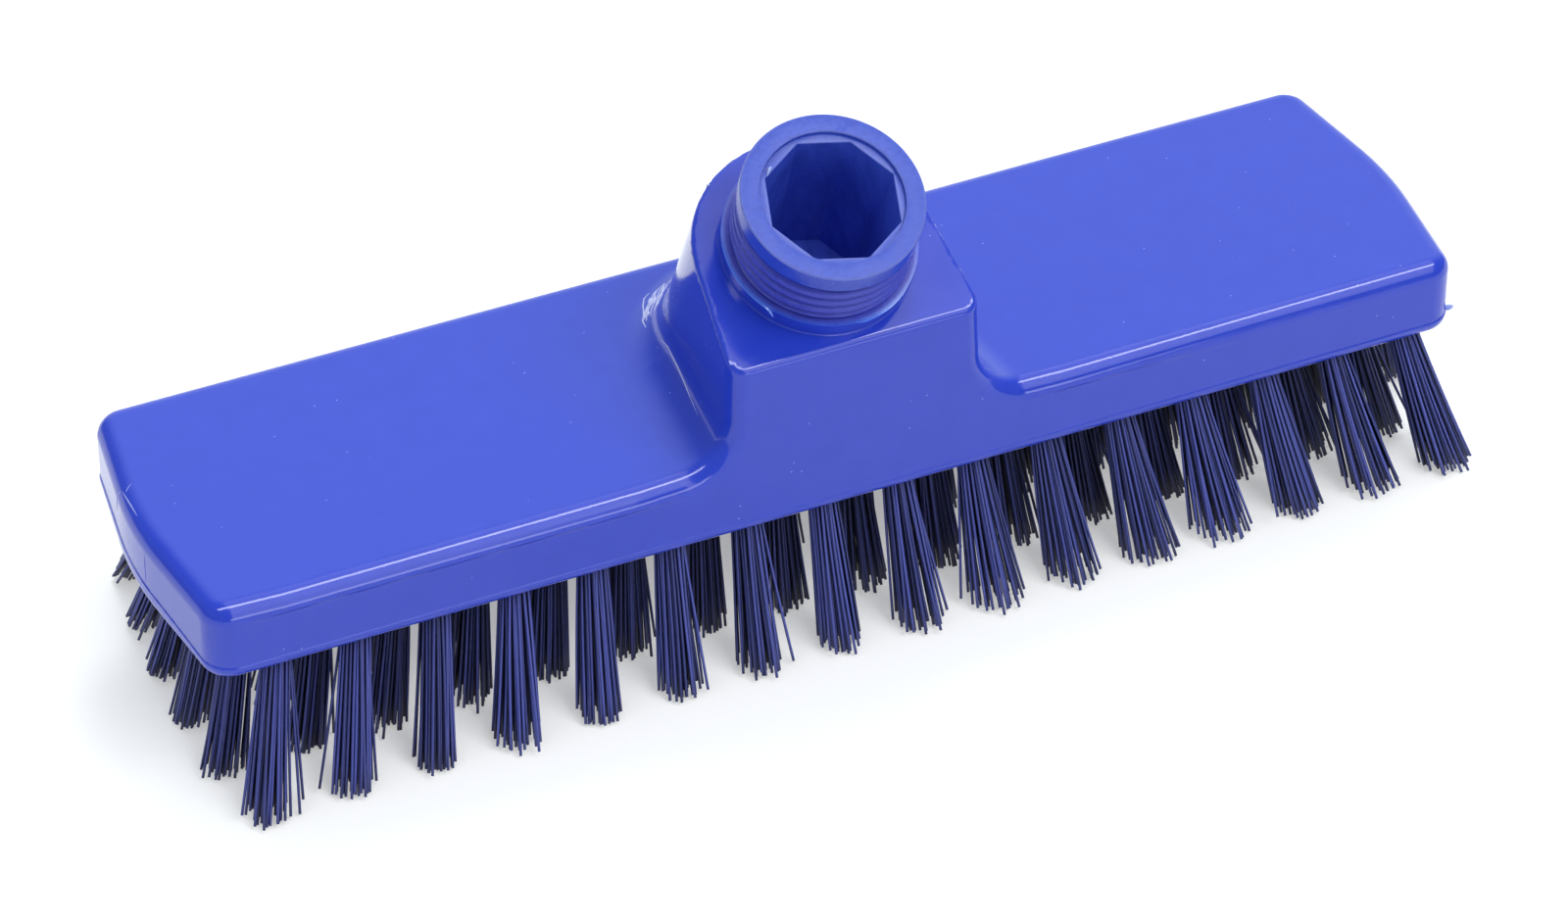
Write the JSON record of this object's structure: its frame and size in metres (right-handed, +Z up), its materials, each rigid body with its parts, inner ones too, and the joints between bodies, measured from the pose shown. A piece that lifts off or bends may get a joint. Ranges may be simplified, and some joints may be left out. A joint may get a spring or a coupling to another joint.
{
  "type": "floor scrub brush",
  "caption": "Moulded plastic floor scrub brush head with bowed ends, a tilted threaded handle socket with an octagonal bore, and splayed stiff tufts.",
  "frame": {"origin": "middle of the bounding box, on the plane of the bristle tips", "axes": "+X along the block, +Z up, and the handle socket leans towards -Y"},
  "size_m": [0.2318, 0.0722, 0.0884],
  "materials": {
    "block_plastic": "glossy royal-blue injection-moulded polypropylene, satin on the threaded socket",
    "filament": "dark blue stiff extruded filament, satin along its length"
  },
  "bodies": {
    "root": {"brush_block": "block_plastic", "bristle_bank_1": "filament", "bristle_bank_2": "filament", "bristle_bank_3": "filament", "bristle_bank_4": "filament"}
  },
  "joints": []
}
